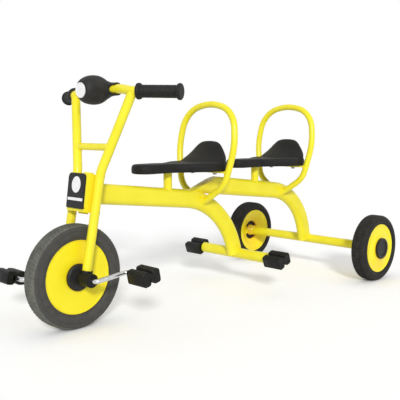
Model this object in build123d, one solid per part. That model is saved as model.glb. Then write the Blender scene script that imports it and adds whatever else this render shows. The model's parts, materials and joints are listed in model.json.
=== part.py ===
from build123d import *

import os
from math import atan, cos, degrees, radians, sin, tan

# A children's tandem tricycle for two riders, one behind the other.
# Frame of the whole model, in millimetres: +X is forward, +Y is the riders' left, +Z is up.
# The origin is on the ground, under the middle of the machine's length and on its plane of symmetry.

# ---- overall sizes --------------------------------------------------------------------------------------
WHEELBASE = 980.0  # rear axle to front axle, along X
WHEEL_OFFSET = 263.5  # middle plane of each rear wheel from the plane of symmetry
RAKE = 10.9  # lean of the steering axis, degrees, top towards the riders
SEAT_PITCH = 375.0  # front rider to rear rider

# ---- clearances -----------------------------------------------------------------------------------------
SEAT_GAP = 0.3  # left between faces that are welded or pushed together
RUN_GAP = 0.05  # radial clearance of a turning fit
SIDE_GAP = 1.0  # clearance beside a turning piece

# ---- wheels ---------------------------------------------------------------------------------------------
FRONT_TYRE_R = 130.0
FRONT_TYRE_W = 45.0
FRONT_DISC_R = 92.5  # the yellow wheel disc inside the tyre
REAR_TYRE_R = 106.0
REAR_TYRE_W = 50.0
REAR_DISC_R = 78.0
TREAD_ROUND = 12.0  # rounding of the tread's shoulders
BEAD_STEP = 4.0  # each tyre's side stands this much proud of the bead that grips the disc
AXLE_R = 6.0  # solid steel rod, used for the crank and the rear axle
HUB_R = 33.5  # black hub flange or cap on every wheel
HUB_THICK = 9.0
HUB_BOSS_R = 20.0  # raised middle of a front hub flange
HUB_BOSS = 6.0
HUB_EDGE = 3.0  # bevel of a hub flange's edge
CAP_LENGTH = 8.0
CAP_DISH_R = 24.0  # shallow recess in the face of a rear hub cap
CAP_DISH = 2.5
DISC_FACE = 15.0  # half thickness of the front disc under its hubs
DISC_EDGE = 15.5  # and at its edge
DISC_CROWN = 1.2  # its faces bulge this much between the two
REAR_FACE = 24.0  # face of a rear disc's hub seat outside the wheel's middle plane
RIM_LIP = 21.0  # half thickness of a rear disc's rim
RIM_WIDTH = 12.0
RIM_STEP = 2.0  # the web meets the rim this much below the lip
REAR_BOSS_R = 16.5  # axle boss of a rear disc
WEB_FALL = 16.0  # the inner side of a rear disc is coned this deep
WEB_INNER_R = 38.0  # where the cone meets the flat round the axle boss
POCKET_R = 27.0  # middle line of the two kidney-shaped pockets beside the axle boss
POCKET_WIDTH = 16.0
POCKET_SPAN = 100.0  # degrees
POCKET_DEPTH = 22.0

# ---- frame ----------------------------------------------------------------------------------------------
BEAM_DEPTH = 53.0  # flat-sided oval tube, on edge
BEAM_WIDTH = 30.0
BEAM_SLOPE = 6.7  # fall of both beams towards the back, degrees
BEAM_LAP = 8.0  # the rear beam's underside is notched this deep over the front beam
FRONT_BEND_R = 240.0
REAR_BEND_R = 195.0
BEND_SHARE = 0.98  # a bend takes up at most this share of the steep run below it
FRONT_DROP = 75.0  # steepness of each beam's lower end, degrees from level
REAR_DROP = 78.0
FRONT_BEAM_LEAD = 1.0  # lower end of the front beam ahead of the foot bar
REAR_BEAM_LEAD = 18.0  # lower end of the rear beam ahead of the rear axle
REAR_BEAM_START = 85.0  # tip of the rear beam behind the front seat post
TIP_LAG = 12.0  # but at most this much behind the start of the front beam's bend
BEVEL_ANGLE = 20.0  # long bevel on the rear beam's front end, degrees
BEVEL_BACK = 8.0  # the bevel's middle lies this much behind the beam's tip

FOOT_BAR_HEIGHT = 107.0
FOOT_BAR_X = 387.0  # ahead of the rear axle
FOOT_BAR_HALF = 130.0
FOOT_BAR_R = 16.0
FOOT_SPINDLE_R = 6.0
AXLE_TUBE_R = 14.8

# ---- seats and hoops ------------------------------------------------------------------------------------
POST_X = 293.0  # rear seat post ahead of the rear axle
POST_R = 12.0
POST_HEIGHT = 43.5  # top of a beam to the underside of its seat
SEAT_BACK_X = 113.0  # back edge of the rear seat ahead of the rear axle
SEAT_LENGTH = 298.0
SEAT_SIDE_GAP = 17.5  # between the hips of a seat and the hoop's tube
NOSE_HALF = 36.0
PAN_THICK = 26.0
PAN_TOP_ROUND = 9.0
PAN_LOW_ROUND = 3.0
HIP_LENGTH = 95.0  # the saddle keeps its full width this far from the back
WAIST_X = 185.0  # where the thighs' cut-away ends and the nose begins
BACK_ROUND = 46.0  # plan radii of the pan: back corners, hips, waist
HIP_ROUND = 60.0
WAIST_ROUND = 70.0

HOOP_FOOT_X = 163.0  # foot of the rear hoop ahead of the rear axle
HOOP_R = 9.5
HOOP_LEAN = 8.0  # degrees, top towards the back
HOOP_HALF = 112.0  # widest half breadth, at the tube's centre
HOOP_HEIGHT = 283.0  # foot to crown along the leaning plane
SEAT_BAR_W = 16.0
SEAT_BAR_T = 5.0

# ---- fork and steering head, with heights along the steering axis ---------------------------------------
TUBE_R = 11.5  # fork legs and handlebar
LEG_CLEAR = 13.5  # between the tyre's side and each leg
LEG_SPREAD = 117.0  # fork legs where they meet the handlebar
LEG_BEND = 90.0
LEG_FOOT = 21.0  # the legs end this far above the axle, inside the bearing blocks
HEAD_CLEAR = 35.0  # top of the tyre to the head tube
HEAD_LENGTH = 82.0
KNEE_RISE = 12.0  # the legs begin to spread this far above the head tube
BRACE_RISE = 75.0  # head tube to the brace
BAR_RISE = 211.0  # head tube to the handlebar, where it meets the legs
BAR_SETBACK = 9.0  # the handlebar lies this much behind the steering axis
BAR_CREST = 8.0  # its level middle stands this much higher
CREST_HALF = 70.0
CREST_BEND = 110.0
BRACE_R = 9.0
HEAD_R = 19.0
HEAD_PIN_R = 8.0
PIN_HEAD = 4.0
PIN_HEAD_R = 12.0
CROWN_T = 5.0  # folded plate of the crown
CROWN_FRONT = 30.0  # top of the crown's face ahead of the steering axis
CROWN_TUCK = 5.0  # the bottom of the face is set back this much from its top
CROWN_BACK = 24.0  # reach of the crown's flanges behind the axis
CHEEK_BACK = 2.0  # reach of the crown's side walls behind the axis
CROWN_JOGGLE = 6.0  # the face is set back this much in a groove above the lower flange
JOGGLE_HEIGHT = 10.0
WASHER = 1.0  # running clearance between a flange and the head tube
SIGN_W = 70.0
SIGN_T = 3.0
SIGN_TOP_ROUND = 12.0
SIGN_LOW_ROUND = 3.0
SIGN_RISE = 3.0  # middle of the plate above the middle of the crown
SIGN_MARGIN = 4.0  # the crown shows this much above and below the plate

GRIP_SWEEP = 25.0  # grips turn towards the riders, degrees
GRIP_LIFT = 7.0  # and up by this much, so that they lie nearly level
GRIP_START = 12.0  # bare tube between the fork leg's joint and the grip
GRIP_LENGTH = 112.0
GRIP_CAP = 4.0  # rubber beyond the end of the handlebar tube
GRIP_R = 15.2
GRIP_FLANGE_R = 19.5
FLANGE_W = 9.0
FLANGE_ROUND = 3.0
BAR_BEND = 30.0

PAD_SLEEVE = [  # the pad's sleeve from an open end to its middle: radius, distance from the middle
    (16.0, 58.0),
    (16.5, 40.0),
    (18.5, 25.0),
    (22.5, 11.0),
    (26.0, 0.0),
]
PAD_BODY = [  # its round body from the back to the face: distance ahead of the handlebar's axis, radius
    (-16.0, 16.0),
    (-1.0, 27.0),
    (14.0, 34.0),
    (29.0, 36.0),
    (46.0, 34.0),
    (58.0, 29.5),
    (66.5, 22.5),
]
PAD_NOTCH_R = 11.0  # each open end of the sleeve is cut back in front
PAD_NOTCH = 17.0
PAD_NOD = 3.0  # the pad's face looks this much down from level, degrees
BADGE_R = 18.5
BADGE_T = 3.0

# ---- crank, pedals and foot rests -----------------------------------------------------------------------
CRANK_LENGTH = 82.0
CRANK_TILT = 10.0  # the left arm points back and this much up, degrees
CRANK_BEND = 11.0
BEARING_R = 17.0
BEARING_COLLAR = 3.0  # wall of the socket that holds a leg's lower end
BEARING_WING = 15.0  # the block reaches this far outside the leg
SHOULDER_GAP = 14.0  # bearing block to the crank's first bend
ARM_SPLAY = 18.0  # each arm leans outwards by this much along its length
PEDAL_CLEAR = 30.0  # crank arm to the pedal's inner face
PEDAL_LENGTH = 62.0  # along the spindle
PEDAL_REACH = 52.0  # heel to toe
PEDAL_THICK = 35.0
PEDAL_TREAD = 20.0  # heel-to-toe width of each tread block
PEDAL_ROUND = 6.0
PEDAL_BARREL_R = 11.0
PEDAL_WEB = 6.0  # end plates that join the tread blocks to the barrel
PEDAL_END = 4.0  # closed outer end of the barrel
PEDAL_PITCH = {"left": 12.0, "right": -10.0}  # how far each pedal has swung toe down, degrees
REST_PITCH = 20.0
REST_GAP = 3.0  # foot rest from the end of the foot bar

# ---- places that follow from them -----------------------------------------------------------------------
REAR_X = -(WHEELBASE + FRONT_TYRE_R - REAR_TYRE_R) / 2
FRONT_X = REAR_X + WHEELBASE
FORK_FRAME = Location((FRONT_X, 0, FRONT_TYRE_R), (0, -RAKE, 0))  # X ahead of, Z along the steering axis
HEAD_LOW = FRONT_TYRE_R + HEAD_CLEAR
HEAD_HIGH = HEAD_LOW + HEAD_LENGTH
HEAD_MID = (HEAD_LOW + HEAD_HIGH) / 2
KNEE_HEIGHT = HEAD_HIGH + KNEE_RISE
BRACE_HEIGHT = HEAD_HIGH + BRACE_RISE
BAR_HEIGHT = HEAD_HIGH + BAR_RISE
LEG_HALF = FRONT_TYRE_W / 2 + LEG_CLEAR + TUBE_R
BEAM_STEP = BEAM_DEPTH / cos(radians(BEAM_SLOPE)) - BEAM_LAP
HUB_FACE = DISC_FACE + SEAT_GAP + HUB_THICK + HUB_BOSS
BEARING_IN = HUB_FACE + 2 * SIDE_GAP
BEARING_OUT = LEG_HALF + TUBE_R + BEARING_WING
CRANK_SHOULDER = BEARING_OUT + SHOULDER_GAP
CRANK_OUT = CRANK_SHOULDER + ARM_SPLAY
PEDAL_INNER = CRANK_OUT + PEDAL_CLEAR
SEAT_HALF = HOOP_HALF - HOOP_R - SEAT_SIDE_GAP
SIDES = {"left": 1, "right": -1}
ROWS = {"front": (SEAT_PITCH, 0.0), "rear": (0.0, BEAM_STEP)}  # place along X, step of the beam below

ON_FLOOR = (Align.CENTER, Align.CENTER, Align.MIN)  # box or cylinder that starts at z = 0

os.makedirs("parts", exist_ok=True)


def save(shape, name):
    """Write one piece to its own file, named after it."""
    export_step(shape, f"parts/{name}.step")


def largest(shape):
    """The biggest solid of a shape that a cut has left in several."""
    return shape.solids().sort_by(SortBy.VOLUME)[-1]


def handed(shape, sign):
    """The shape for the left side as it is, and its mirror image for the right side."""
    return shape if sign > 0 else mirror(shape, about=Plane.XZ)


def rod(points, bends, radius):
    """A round bar through the points, with one bend radius for each corner."""
    path = FilletPolyline(*points, radius=bends) if len(points) > 2 else Line(*points)
    section = Plane(origin=path @ 0, z_dir=path % 0) * Circle(radius)
    return sweep(section, path=path)


def cross_rod(radius, half, x=0.0, z=0.0):
    """A round bar across the machine, along Y."""
    return Pos(x, 0, z) * Rot(90, 0, 0) * Cylinder(radius, 2 * half)


def turned(points, axis=Axis.Y):
    """Solid of revolution from a closed outline of straight runs."""
    return revolve(make_face(Polyline(*points, close=True)), axis=axis)


# ---- the two beams --------------------------------------------------------------------------------------
def beam_line(x, step):
    """Height of a beam's straight axis above the ground at x, with the rear beam one step higher."""
    head_x = FRONT_X - HEAD_MID * sin(radians(RAKE))
    head_z = FRONT_TYRE_R + HEAD_MID * cos(radians(RAKE))
    return head_z + step - (head_x - x) * tan(radians(BEAM_SLOPE))


def beam_corner(end_x, end_z, drop, step):
    """Corner where the sloping run meets the line that rises from the beam's lower end."""
    rise = tan(radians(drop))
    fall = tan(radians(BEAM_SLOPE))
    x = (beam_line(0, step) - end_z + rise * end_x) / (rise - fall)
    return x, beam_line(x, step)


def bend_radius(corner_x, end_x, drop, bend):
    """The bend wanted at a beam's corner, or the largest that the steep run below it has room for."""
    room = BEND_SHARE * (corner_x - end_x) / cos(radians(drop))
    return min(bend, room / tan(radians(drop - BEAM_SLOPE) / 2))


def beam(start_x, end_x, end_z, drop, bend, step, grow=0.0):
    """Oval tube, on edge: a sloping run, one bend, and a steep lower end."""
    corner_x, corner_z = beam_corner(end_x, end_z, drop, step)
    points = [(start_x, 0, beam_line(start_x, step)), (corner_x, 0, corner_z), (end_x, 0, end_z)]
    path = FilletPolyline(*points, radius=bend_radius(corner_x, end_x, drop, bend))
    section = SlotOverall(BEAM_DEPTH + 2 * grow, BEAM_WIDTH + 2 * grow, rotation=90)
    return sweep(Plane(origin=path @ 0, z_dir=path % 0, x_dir=(0, 1, 0)) * section, path=path)


front_end_x = REAR_X + FOOT_BAR_X + FRONT_BEAM_LEAD
front_corner_x = beam_corner(front_end_x, FOOT_BAR_HEIGHT, FRONT_DROP, 0.0)[0]
front_bend = bend_radius(front_corner_x, front_end_x, FRONT_DROP, FRONT_BEND_R)
bend_run = front_bend * tan(radians(FRONT_DROP - BEAM_SLOPE) / 2) * cos(radians(BEAM_SLOPE))
tip_x = max(REAR_X + SEAT_PITCH + POST_X - REAR_BEAM_START, front_corner_x + bend_run - TIP_LAG)


def front_beam_shape(grow=0.0):
    start_x = FRONT_X - HEAD_MID * sin(radians(RAKE))
    return beam(start_x, front_end_x, FOOT_BAR_HEIGHT, FRONT_DROP, FRONT_BEND_R, 0.0, grow)


def rear_beam_shape(grow=0.0):
    end_x = REAR_X + REAR_BEAM_LEAD
    return beam(tip_x, end_x, REAR_TYRE_R, REAR_DROP, REAR_BEND_R, BEAM_STEP, grow)


head_tube_blank = FORK_FRAME * (Pos(0, 0, HEAD_MID) * Cylinder(HEAD_R + SEAT_GAP, 2 * HEAD_LENGTH))
foot_bar_blank = cross_rod(FOOT_BAR_R + SEAT_GAP, FOOT_BAR_HALF, REAR_X + FOOT_BAR_X, FOOT_BAR_HEIGHT)
axle_tube_blank = cross_rod(AXLE_TUBE_R + SEAT_GAP, WHEEL_OFFSET, REAR_X, REAR_TYRE_R)
front_beam_blank = front_beam_shape(SEAT_GAP)
rear_beam_blank = rear_beam_shape(SEAT_GAP)

save(largest(front_beam_shape() - head_tube_blank - foot_bar_blank), "front_beam")

bevel_x = tip_x - BEVEL_BACK
bevel = (
    Pos(bevel_x, 0, beam_line(bevel_x, 0) + BEAM_DEPTH / 2)
    * Rot(0, BEVEL_ANGLE, 0)
    * Box(4 * BEAM_DEPTH, 2 * BEAM_WIDTH, 2 * BEAM_DEPTH, align=ON_FLOOR)
)
save(largest(rear_beam_shape() - front_beam_blank - axle_tube_blank - bevel), "rear_beam")
beam_blanks = {"front": front_beam_blank, "rear": rear_beam_blank}

# ---- head tube, rear axle and foot bar ------------------------------------------------------------------
head_tube = Pos(0, 0, HEAD_LOW) * Cylinder(HEAD_R, HEAD_LENGTH, align=ON_FLOOR)
head_tube -= Pos(0, 0, HEAD_LOW) * Cylinder(HEAD_PIN_R + RUN_GAP, HEAD_LENGTH, align=ON_FLOOR)
save(FORK_FRAME * head_tube, "head_tube")

axle_tube_half = WHEEL_OFFSET - REAR_TYRE_W / 2 - SIDE_GAP
axle_tube = cross_rod(AXLE_TUBE_R, axle_tube_half) - cross_rod(AXLE_R + SEAT_GAP, axle_tube_half)
save(Pos(REAR_X, 0, REAR_TYRE_R) * axle_tube, "rear_axle_tube")

axle_half = WHEEL_OFFSET + REAR_FACE + CAP_LENGTH - 2 * CAP_DISH
save(cross_rod(AXLE_R, axle_half, REAR_X, REAR_TYRE_R), "rear_axle")

rest_end = PEDAL_LENGTH - PEDAL_END - SIDE_GAP
foot_bar = cross_rod(FOOT_BAR_R, FOOT_BAR_HALF)
foot_bar += cross_rod(FOOT_SPINDLE_R, FOOT_BAR_HALF + REST_GAP + rest_end)
save(Pos(REAR_X + FOOT_BAR_X, 0, FOOT_BAR_HEIGHT) * foot_bar, "foot_bar")


# ---- pedals and foot rests ------------------------------------------------------------------------------
def pedal(spindle_r):
    """Moulded pedal on a spindle along Y, its inner end at y = 0: two tread blocks, a barrel, end plates."""
    from_inner = (Align.CENTER, Align.MIN, Align.CENTER)
    tread = Box(PEDAL_TREAD, PEDAL_LENGTH, PEDAL_THICK, align=from_inner)
    tread = fillet(tread.edges().filter_by(Axis.Y), PEDAL_ROUND)
    tread_x = (PEDAL_REACH - PEDAL_TREAD) / 2
    plate = Box(PEDAL_REACH - PEDAL_TREAD, PEDAL_WEB, 2 * PEDAL_BARREL_R, align=from_inner)
    along_y = Rot(-90, 0, 0)
    shape = along_y * Cylinder(PEDAL_BARREL_R, PEDAL_LENGTH, align=ON_FLOOR)
    shape += [Pos(x, 0, 0) * tread for x in (tread_x, -tread_x)]
    shape += [Pos(0, y, 0) * plate for y in (0, PEDAL_LENGTH - PEDAL_WEB)]
    bore = along_y * Cylinder(spindle_r + RUN_GAP, PEDAL_LENGTH - PEDAL_END, align=ON_FLOOR)
    return shape - bore


arm_x = CRANK_LENGTH * cos(radians(CRANK_TILT))
arm_z = CRANK_LENGTH * sin(radians(CRANK_TILT))
for side, sign in SIDES.items():
    place = Pos(FRONT_X - sign * arm_x, sign * PEDAL_INNER, FRONT_TYRE_R + sign * arm_z)
    save(place * Rot(0, PEDAL_PITCH[side], 0) * handed(pedal(AXLE_R), sign), f"pedal_{side}")
    place = Pos(REAR_X + FOOT_BAR_X, sign * (FOOT_BAR_HALF + REST_GAP), FOOT_BAR_HEIGHT)
    save(place * Rot(0, REST_PITCH, 0) * handed(pedal(FOOT_SPINDLE_R), sign), f"foot_rest_{side}")

# ---- crank: axle, arms and pedal spindles bent from one rod ---------------------------------------------
spindle_end = PEDAL_INNER + PEDAL_LENGTH - PEDAL_END - SIDE_GAP
right_arm = [(arm_x, -spindle_end, -arm_z), (arm_x, -CRANK_OUT, -arm_z), (0, -CRANK_SHOULDER, 0)]
left_arm = [(-x, -y, -z) for x, y, z in reversed(right_arm)]
crank = rod(right_arm + left_arm, [CRANK_BEND] * 4, AXLE_R)
save(Pos(FRONT_X, 0, FRONT_TYRE_R) * crank, "crank")


# ---- wheels ---------------------------------------------------------------------------------------------
def tyre(radius, width, hole):
    """Solid rubber tyre about the Y axis, with a nearly flat tread and a stepped bead beside the disc."""
    side = width / 2
    bead = side - BEAD_STEP
    half = [(hole, bead), (hole + BEAD_STEP, bead), (hole + 2 * BEAD_STEP, side), (radius, side)]
    with BuildSketch(Plane.XY) as section:
        with BuildLine():
            Polyline(*half, *[(x, -y) for x, y in reversed(half)], close=True)
        make_face()
        fillet(section.vertices().group_by(Axis.X)[-1], TREAD_ROUND)
    return revolve(section.sketch, axis=Axis.Y)


def front_disc():
    """Smooth wheel disc, crowned from its edge to a flat seat under each hub flange."""
    edge = FRONT_DISC_R - SEAT_GAP
    bore = AXLE_R + SEAT_GAP
    middle = ((HUB_R + edge) / 2, (DISC_FACE + DISC_EDGE) / 2 + DISC_CROWN)
    with BuildSketch(Plane.XY) as section:
        with BuildLine():
            Polyline((HUB_R, DISC_FACE), (bore, DISC_FACE), (bore, -DISC_FACE), (HUB_R, -DISC_FACE))
            ThreePointArc((HUB_R, -DISC_FACE), (middle[0], -middle[1]), (edge, -DISC_EDGE))
            Line((edge, -DISC_EDGE), (edge, DISC_EDGE))
            ThreePointArc((edge, DISC_EDGE), middle, (HUB_R, DISC_FACE))
        make_face()
    return revolve(section.sketch, axis=Axis.Y)


def rear_disc():
    """Moulded disc for the left side: lipped face outside (+Y), coned web with two pockets inside."""
    edge = REAR_DISC_R - SEAT_GAP
    lip_r = REAR_DISC_R - RIM_WIDTH
    bore = AXLE_R + RUN_GAP
    boss = REAR_TYRE_W / 2
    outside = [
        (bore, REAR_FACE),
        (HUB_R, REAR_FACE),
        (lip_r, RIM_LIP - RIM_STEP),
        (lip_r + RIM_WIDTH / 3, RIM_LIP),
        (edge, RIM_LIP),
    ]
    inside = [
        (edge, -RIM_LIP),
        (lip_r, -RIM_LIP),
        (WEB_INNER_R, WEB_FALL - RIM_LIP),
        (REAR_BOSS_R, WEB_FALL - RIM_LIP),
        (REAR_BOSS_R, -boss),
        (bore, -boss),
    ]
    pocket_line = CenterArc((0, 0), POCKET_R, 90 - POCKET_SPAN / 2, POCKET_SPAN)
    pocket = extrude(SlotArc(pocket_line, POCKET_WIDTH), POCKET_DEPTH)
    shape = turned(outside + inside)
    for turn in (0, 180):
        shape -= Rot(90, turn, 0) * (Pos(0, 0, RIM_LIP - WEB_FALL - POCKET_DEPTH) * pocket)
    return shape


def hub_flange():
    """Black hub flange on one face of the front disc, about the Y axis, standing outwards from y = 0."""
    outline = [(0, 0), (HUB_R, 0), (HUB_R, HUB_THICK - HUB_EDGE), (HUB_R - HUB_EDGE, HUB_THICK)]
    outline += [(HUB_BOSS_R, HUB_THICK), (HUB_BOSS_R, HUB_THICK + HUB_BOSS), (0, HUB_THICK + HUB_BOSS)]
    return turned(outline) - cross_rod(AXLE_R + SEAT_GAP, HUB_THICK + 2 * HUB_BOSS)


def hub_cap():
    """Rear hub cap, dished in the middle of its face, hollow over the end of the axle."""
    cap = Rot(-90, 0, 0) * Cylinder(HUB_R, CAP_LENGTH, align=ON_FLOOR)
    cap = fillet(cap.edges().group_by(Axis.Y)[-1], CAP_DISH)
    dish = Rot(-90, 0, 0) * Cylinder(CAP_DISH_R, CAP_LENGTH, align=ON_FLOOR)
    cap -= Pos(0, CAP_LENGTH - CAP_DISH, 0) * dish
    return cap - cross_rod(AXLE_R + CAP_DISH, CAP_LENGTH - 2 * CAP_DISH + SEAT_GAP)


front_wheel = Pos(FRONT_X, 0, FRONT_TYRE_R)
save(front_wheel * tyre(FRONT_TYRE_R, FRONT_TYRE_W, FRONT_DISC_R), "front_tyre")
save(front_wheel * front_disc(), "front_disc")
for side, sign in SIDES.items():
    seated = Pos(0, sign * (DISC_FACE + SEAT_GAP), 0)
    save(front_wheel * seated * handed(hub_flange(), sign), f"front_hub_{side}")
    cap_seat = Pos(0, sign * (REAR_FACE + SEAT_GAP), 0)
    rear_wheel = Pos(REAR_X, sign * WHEEL_OFFSET, REAR_TYRE_R)
    save(rear_wheel * tyre(REAR_TYRE_R, REAR_TYRE_W, REAR_DISC_R), f"rear_tyre_{side}")
    save(rear_wheel * handed(rear_disc(), sign), f"rear_disc_{side}")
    save(rear_wheel * cap_seat * handed(hub_cap(), sign), f"rear_hub_cap_{side}")

# ---- fork: handlebar, legs, bearing blocks, brace -------------------------------------------------------
grip_dx = -sin(radians(GRIP_SWEEP)) * cos(radians(GRIP_LIFT))
grip_dy = cos(radians(GRIP_SWEEP))
grip_dz = sin(radians(GRIP_SWEEP)) * sin(radians(GRIP_LIFT))


def handlebar_shape(radius):
    """Handlebar tube: a raised level middle and two ends that sweep back."""
    run = GRIP_START + GRIP_LENGTH - GRIP_CAP
    right_end = (run * grip_dx - BAR_SETBACK, -LEG_SPREAD - run * grip_dy, BAR_HEIGHT + run * grip_dz)
    right_crest = (-BAR_SETBACK, -CREST_HALF, BAR_HEIGHT + BAR_CREST)
    right = [right_end, (-BAR_SETBACK, -LEG_SPREAD, BAR_HEIGHT), right_crest]
    left = [(x, -y, z) for x, y, z in reversed(right)]
    return rod(right + left, [BAR_BEND, CREST_BEND, CREST_BEND, BAR_BEND], radius)


def leg_shape(sign, radius):
    """Fork leg: upright beside the wheel, then spreading back and out to the handlebar."""
    low = (0, sign * LEG_HALF, LEG_FOOT)
    knee = (0, sign * LEG_HALF, KNEE_HEIGHT)
    return rod([low, knee, (-BAR_SETBACK, sign * LEG_SPREAD, BAR_HEIGHT)], [LEG_BEND], radius)


def bearing_block():
    """Moulded block for the left side: a barrel round the crank and a socket under the leg."""
    barrel = Rot(-90, 0, 0) * Cylinder(BEARING_R, BEARING_OUT - BEARING_IN, align=ON_FLOOR)
    block = Pos(0, BEARING_IN, 0) * barrel
    block += Pos(0, LEG_HALF, 0) * Cylinder(TUBE_R + BEARING_COLLAR, LEG_FOOT, align=ON_FLOOR)
    socket = Cylinder(TUBE_R + SEAT_GAP, LEG_FOOT, align=ON_FLOOR)
    return block - cross_rod(AXLE_R + RUN_GAP, BEARING_OUT) - Pos(0, LEG_HALF, LEG_FOOT - SEAT_GAP) * socket


bar_blank = handlebar_shape(TUBE_R + SEAT_GAP)
save(FORK_FRAME * handlebar_shape(TUBE_R), "handlebar")
up_share = (BRACE_HEIGHT - KNEE_HEIGHT) / (BAR_HEIGHT - KNEE_HEIGHT)  # brace, from knee to handlebar
brace_half = LEG_HALF + up_share * (LEG_SPREAD - LEG_HALF)
brace = cross_rod(BRACE_R, brace_half, -up_share * BAR_SETBACK, BRACE_HEIGHT)
for side, sign in SIDES.items():
    save(FORK_FRAME * largest(leg_shape(sign, TUBE_R) - bar_blank), f"fork_leg_{side}")
    save(FORK_FRAME * handed(bearing_block(), sign), f"bearing_block_{side}")
    brace -= leg_shape(sign, TUBE_R + SEAT_GAP)
save(FORK_FRAME * largest(brace), "fork_brace")

# ---- steering head: folded crown, pin and blank plate ---------------------------------------------------
flange_low = HEAD_LOW - WASHER - CROWN_T
flange_high = HEAD_HIGH + WASHER
crown_half = LEG_HALF - TUBE_R - SEAT_GAP
crown_mid = (flange_low + flange_high + CROWN_T) / 2
face_slope = CROWN_TUCK / (flange_high + CROWN_T - flange_low)


def face_x(z):
    """Place of the crown's tilted face ahead of the steering axis, at a height along that axis."""
    return CROWN_FRONT - face_slope * (flange_high + CROWN_T - z)


def crown_block(back, face_inset, half, low, high):
    """Block across the fork behind the crown's tilted face, from low to high and half to each side."""
    front = [(face_x(z) - face_inset, z) for z in (low, high)]
    side = Plane.XZ * make_face(Polyline((-back, low), *front, (-back, high), close=True))
    return extrude(side, half, both=True)


def crown_shape():
    """Folded plate: a face and two cheeks between the legs, and a flange above and below the head tube."""
    crown = crown_block(CROWN_BACK, 0, crown_half, flange_low, flange_high + CROWN_T)
    crown = fillet(crown.edges().group_by(Axis.X)[-1].filter_by(GeomType.LINE), CROWN_T)
    crown -= crown_block(CROWN_BACK, CROWN_T, crown_half - CROWN_T, flange_low + CROWN_T, flange_high)
    back = Box(CROWN_BACK - CHEEK_BACK, 2 * crown_half, flange_high - flange_low - CROWN_T, align=ON_FLOOR)
    crown -= Pos(-(CROWN_BACK + CHEEK_BACK) / 2, 0, flange_low + CROWN_T) * back
    groove_z = flange_low + CROWN_T + JOGGLE_HEIGHT / 2
    groove = Pos(face_x(groove_z) + JOGGLE_HEIGHT / 2 - CROWN_JOGGLE / 2, 0, groove_z) * Rot(0, 45, 0)
    side = JOGGLE_HEIGHT / 2**0.5
    crown -= groove * Box(side, 2 * crown_half, side)
    return crown - Pos(0, 0, crown_mid) * Cylinder(HEAD_PIN_R + SEAT_GAP, 2 * HEAD_LENGTH)


save(FORK_FRAME * crown_shape(), "fork_crown")

pin_low = flange_low - SEAT_GAP
pin_high = flange_high + CROWN_T + SEAT_GAP
pin = Pos(0, 0, pin_low) * Cylinder(HEAD_PIN_R, pin_high - pin_low, align=ON_FLOOR)
pin_head = Cylinder(PIN_HEAD_R, PIN_HEAD, align=ON_FLOOR)
pin += [Pos(0, 0, z) * pin_head for z in (pin_low - PIN_HEAD, pin_high)]
save(FORK_FRAME * pin, "steering_pin")

sign_h = flange_high + CROWN_T - flange_low - 2 * SIGN_MARGIN
plate = Box(SIGN_T, SIGN_W, sign_h, align=(Align.MIN, Align.CENTER, Align.CENTER))
plate = fillet(plate.edges().filter_by(Axis.X).group_by(Axis.Z)[-1], SIGN_TOP_ROUND)
plate = fillet(plate.edges().filter_by(Axis.X).group_by(Axis.Z)[0], SIGN_LOW_ROUND)
sign_z = crown_mid + SIGN_RISE
on_face = Pos(face_x(sign_z), 0, sign_z) * Rot(0, degrees(atan(face_slope)), 0) * Pos(SEAT_GAP, 0, 0)
save(FORK_FRAME * on_face * plate, "head_plate")


# ---- grips and handlebar pad ----------------------------------------------------------------------------
def grip_shape():
    """Rubber grip along Y from y = 0: a closed outer end and a rounded flange at each end."""
    half = [(0, 0), (GRIP_FLANGE_R, 0), (GRIP_FLANGE_R, FLANGE_W), (GRIP_R, FLANGE_W)]
    outer = [(x, GRIP_LENGTH - y) for x, y in reversed(half)]
    with BuildSketch(Plane.XY) as section:
        with BuildLine():
            Polyline(*half, *outer, close=True)
        make_face()
        fillet(section.vertices().group_by(Axis.X)[-1], FLANGE_ROUND)
    hole = Rot(-90, 0, 0) * Cylinder(TUBE_R + SEAT_GAP, GRIP_LENGTH - GRIP_CAP + SEAT_GAP, align=ON_FLOOR)
    return revolve(section.sketch, axis=Axis.Y) - hole


for side, sign in SIDES.items():
    bend = Pos(-BAR_SETBACK, LEG_SPREAD, BAR_HEIGHT) * Rot(0, GRIP_LIFT, 0) * Rot(0, 0, GRIP_SWEEP)
    save(FORK_FRAME * handed(bend * Pos(0, GRIP_START, 0) * grip_shape(), sign), f"grip_{side}")


def pad_shape():
    """Moulded pad: a sleeve that flares towards the middle, and a round body that bulges ahead of it."""
    with BuildSketch(Plane.XY) as sleeve:
        with BuildLine():
            flare = Spline(*PAD_SLEEVE)
            Polyline(flare @ 1, (0, 0), (0, pad_half), flare @ 0)
        make_face()
        mirror(about=Plane.XZ)
    with BuildSketch(Plane.XZ) as body:
        with BuildLine():
            side = Spline(*PAD_BODY)
            Polyline(side @ 1, (pad_face, 0), (PAD_BODY[0][0], 0), side @ 0)
        make_face()
    pad = revolve(sleeve.sketch, axis=Axis.Y) + revolve(body.sketch, axis=Axis.X)
    notch = Rot(0, 90, 0) * Cylinder(PAD_NOTCH_R, 2 * PAD_SLEEVE[0][0], align=ON_FLOOR)
    pad -= [Pos(0, sign * (pad_half - PAD_NOTCH + PAD_NOTCH_R), 0) * notch for sign in (1, -1)]
    return pad - cross_rod(TUBE_R + SEAT_GAP, pad_half)


pad_half = PAD_SLEEVE[0][1]
pad_face = PAD_BODY[-1][0]
pad_place = FORK_FRAME * Pos(-BAR_SETBACK, 0, BAR_HEIGHT + BAR_CREST) * Rot(0, RAKE + PAD_NOD, 0)
save(pad_place * pad_shape(), "handlebar_pad")
badge = Pos(pad_face + SEAT_GAP, 0, 0) * Rot(0, 90, 0) * Cylinder(BADGE_R, BADGE_T, align=ON_FLOOR)
save(pad_place * badge, "pad_badge")

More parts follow.
